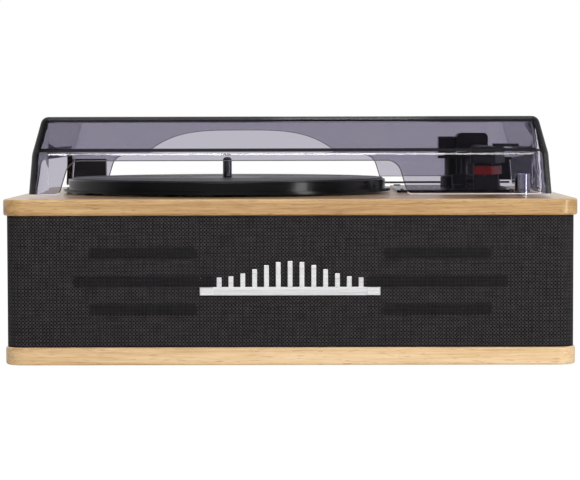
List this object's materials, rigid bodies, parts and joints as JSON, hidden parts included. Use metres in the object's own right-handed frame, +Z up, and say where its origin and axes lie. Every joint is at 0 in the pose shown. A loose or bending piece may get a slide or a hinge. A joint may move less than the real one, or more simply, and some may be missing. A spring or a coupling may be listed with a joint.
{
  "type": "record player",
  "caption": "Table-top record player: cloth-wrapped wooden cabinet with built-in speakers, belt-driven platter, plastic arm and a hinged smoked dust cover.",
  "frame": {"origin": "on the table, under the middle of the cabinet", "axes": "+X to the right as seen from the front, +Y to the rear, +Z up"},
  "size_m": [0.42, 0.34, 0.184],
  "materials": {
    "top_wood": "satin lacquered honey wood",
    "base_wood": "satin lacquered pale wood",
    "cabinet_board": "black stained board",
    "grille_fabric": "black woven speaker cloth",
    "badge_chrome": "bright metal",
    "knob_chrome": "polished chrome",
    "foot_rubber": "soft black rubber",
    "mat_rubber": "ribbed black rubber",
    "steel": "zinc plated steel",
    "speaker_steel": "black painted steel",
    "cone_paper": "black pressed paper",
    "circuit_board": "green circuit board",
    "dark_parts": "black moulded plastic",
    "bearing_brass": "turned brass",
    "spindle_metal": "dark polished steel",
    "platter_finish": "gloss black paint",
    "plate_gloss": "gloss black plastic",
    "arm_plastic": "satin black moulded plastic",
    "cartridge_plastic": "matt black plastic",
    "stylus_red": "red moulded plastic",
    "hinge_plastic": "black moulded plastic",
    "smoked_acrylic": "smoked clear plastic"
  },
  "bodies": {
    "cabinet": {"top_board": "top_wood", "base_board": "base_wood", "front_baffle": "cabinet_board", "side_panel_left": "cabinet_board", "side_panel_right": "cabinet_board", "rear_panel": "cabinet_board", "corner_posts": "cabinet_board", "grille_cloth": "grille_fabric", "badge_bar": "badge_chrome", "badge_ornament": "badge_chrome", "rubber_feet": "foot_rubber", "motor_grommets": "foot_rubber", "drive_belt": "foot_rubber", "speaker_surround_left": "foot_rubber", "speaker_surround_right": "foot_rubber", "cabinet_screws": "steel", "speaker_screws": "steel", "deck_screws": "steel", "hinge_rod": "steel", "hinge_brackets": "steel", "motor": "steel", "speaker_frame_left": "speaker_steel", "speaker_frame_right": "speaker_steel", "speaker_magnet_left": "speaker_steel", "speaker_magnet_right": "speaker_steel", "amplifier_board": "circuit_board", "amplifier_components": "dark_parts", "line_sockets": "dark_parts", "power_inlet": "dark_parts", "volume_control": "dark_parts", "bearing_housing": "bearing_brass", "control_plate": "plate_gloss", "arm_base_collar": "arm_plastic", "arm_rest": "arm_plastic", "lift_housing": "arm_plastic"},
    "cover": {"dust_cover": "smoked_acrylic", "hinge_block_left": "hinge_plastic", "hinge_block_right": "hinge_plastic"},
    "turntable": {"platter": "platter_finish", "platter_mat": "mat_rubber", "spindle": "spindle_metal"},
    "motor_shaft": {"motor_pulley": "dark_parts"},
    "volume": {"volume_knob": "knob_chrome"},
    "selector": {"speed_selector": "arm_plastic"},
    "auto_stop": {"auto_stop_switch": "arm_plastic"},
    "arm_turn": {"arm_turret": "arm_plastic", "arm_bearing_block": "arm_plastic", "arm_pivot_pin": "steel"},
    "arm": {"arm_hub": "arm_plastic", "arm_tube": "arm_plastic", "counterweight": "arm_plastic", "headshell": "arm_plastic", "cartridge": "cartridge_plastic", "stylus_holder": "stylus_red", "finger_lift": "arm_plastic"},
    "rest_clip": {"arm_rest_clip": "arm_plastic"},
    "cue": {"cue_lever": "arm_plastic"},
    "lift": {"lift_platform": "arm_plastic"},
    "cone_left": {"speaker_cone_left": "cone_paper"},
    "cone_right": {"speaker_cone_right": "cone_paper"}
  },
  "joints": [
    {"name": "cover_hinge", "type": "hinge", "parent": "cabinet", "child": "cover", "pos_m": [0, 0.154, 0.1278], "axis": [-1, 0, 0], "range_deg": [0, 65]},
    {"name": "platter_spin", "type": "hinge", "parent": "cabinet", "child": "turntable", "pos_m": [-0.051, -0.002, 0.129], "axis": [0, 0, 1], "continuous": true},
    {"name": "motor_spin", "type": "hinge", "parent": "cabinet", "child": "motor_shaft", "pos_m": [-0.11323, 0.06023, 0.129], "axis": [0, 0, 1], "continuous": true},
    {"name": "volume_turn", "type": "hinge", "parent": "cabinet", "child": "volume", "pos_m": [0.1756, -0.096, 0.124], "axis": [0, 0, -1], "range_deg": [0, 300]},
    {"name": "speed_slide", "type": "slide", "parent": "cabinet", "child": "selector", "axis": [1, 0, 0], "range_m": [-0.006, 0.006]},
    {"name": "auto_stop_slide", "type": "slide", "parent": "cabinet", "child": "auto_stop", "axis": [1, 0, 0], "range_m": [0, 0.005]},
    {"name": "arm_swing", "type": "hinge", "parent": "cabinet", "child": "arm_turn", "pos_m": [0.1435, 0.112, 0.139], "axis": [0, 0, -1], "range_deg": [0, 47]},
    {"name": "arm_tilt", "type": "hinge", "parent": "arm_turn", "child": "arm", "pos_m": [0.137, 0.112, 0.16], "axis": [-1, 0, 0], "range_deg": [0, 2.5]},
    {"name": "clip_turn", "type": "hinge", "parent": "cabinet", "child": "rest_clip", "pos_m": [0.1623, -0.01, 0.1568], "axis": [0, -1, 0], "range_deg": [0, 180]},
    {"name": "cue_turn", "type": "hinge", "parent": "cabinet", "child": "cue", "pos_m": [0.15, 0.07459, 0.131], "axis": [-1, 0, 0], "range_deg": [0, 50]},
    {"name": "lift_rise", "type": "slide", "parent": "cabinet", "child": "lift", "axis": [0, 0, 1], "range_m": [0, 0.0016]},
    {"name": "cone_left_slide", "type": "slide", "parent": "cabinet", "child": "cone_left", "axis": [0, 1, 0], "range_m": [-0.001, 0.001], "stiffness_N_per_m": 1500},
    {"name": "cone_right_slide", "type": "slide", "parent": "cabinet", "child": "cone_right", "axis": [0, 1, 0], "range_m": [-0.001, 0.001], "stiffness_N_per_m": 1500}
  ],
  "couplings": [
    {"joint": "motor_spin", "follows": "platter_spin", "ratio": 9.1667},
    {"joint": "cue_turn", "follows": "lift_rise", "rad_per_m": 545.4},
    {"joint": "arm_tilt", "follows": "lift_rise", "rad_per_m": 26.18}
  ]
}
